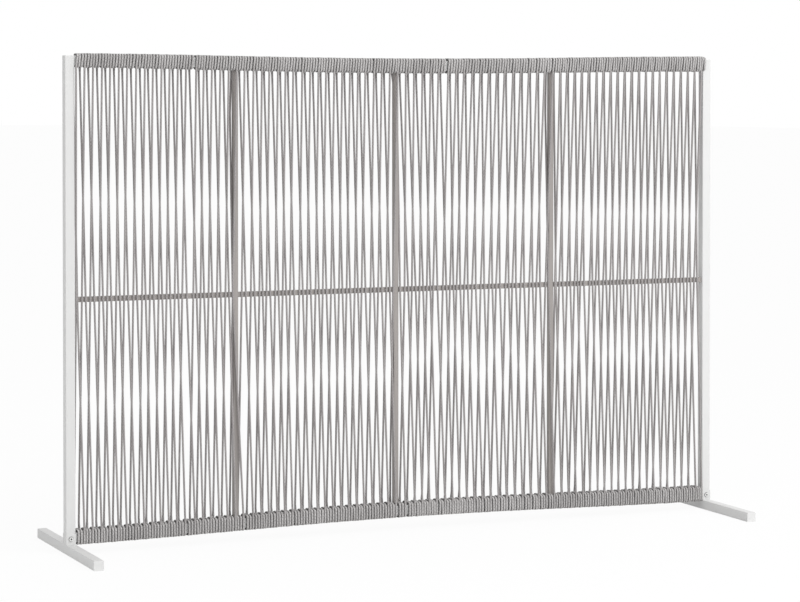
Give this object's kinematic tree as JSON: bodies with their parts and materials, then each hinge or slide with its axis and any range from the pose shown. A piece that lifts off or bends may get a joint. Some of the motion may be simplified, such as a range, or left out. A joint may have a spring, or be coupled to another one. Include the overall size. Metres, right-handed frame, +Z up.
{
  "type": "rope-wound room divider",
  "caption": "Free-standing room divider: white square-tube frame on two cross feet, with a taupe inner grid and grey rope wound between its top and bottom rails.",
  "frame": {"origin": "on the floor, midway between the two posts and midway along the feet", "axes": "+Z up, +X along the rails toward the right-hand post seen from the front, the front faces -Y"},
  "size_m": [2.22, 0.616, 1.5068],
  "materials": {
    "frame_paint": "satin",
    "cap_plastic": "matte",
    "grid_paint": "matte",
    "bolt_steel": "satin",
    "rope": "braided"
  },
  "bodies": {
    "root": {"left_post": "frame_paint", "left_post_cap": "cap_plastic", "left_foot": "frame_paint", "left_foot_cap_front": "cap_plastic", "left_tab_front": "frame_paint", "left_foot_cap_back": "cap_plastic", "left_tab_back": "frame_paint", "right_post": "frame_paint", "right_post_cap": "cap_plastic", "right_foot": "frame_paint", "right_foot_cap_front": "cap_plastic", "right_tab_front": "frame_paint", "right_foot_cap_back": "cap_plastic", "right_tab_back": "frame_paint", "foot_bolts": "bolt_steel", "foot_nuts": "bolt_steel", "top_rail": "frame_paint", "bottom_rail": "frame_paint", "upright_1": "grid_paint", "upright_2": "grid_paint", "upright_3": "grid_paint", "upright_stubs": "grid_paint", "mid_bar_1": "grid_paint", "mid_bar_2": "grid_paint", "mid_bar_3": "grid_paint", "mid_bar_4": "grid_paint", "top_wrap_1": "rope", "top_wrap_2": "rope", "top_wrap_3": "rope", "top_wrap_4": "rope", "bottom_wrap_1": "rope", "bottom_wrap_2": "rope", "bottom_wrap_3": "rope", "bottom_wrap_4": "rope", "upright_strands_1": "rope", "upright_strands_2": "rope", "upright_strands_3": "rope", "upright_strands_4": "rope", "slanted_strands_1": "rope", "slanted_strands_2": "rope", "slanted_strands_3": "rope", "slanted_strands_4": "rope"}
  },
  "joints": []
}
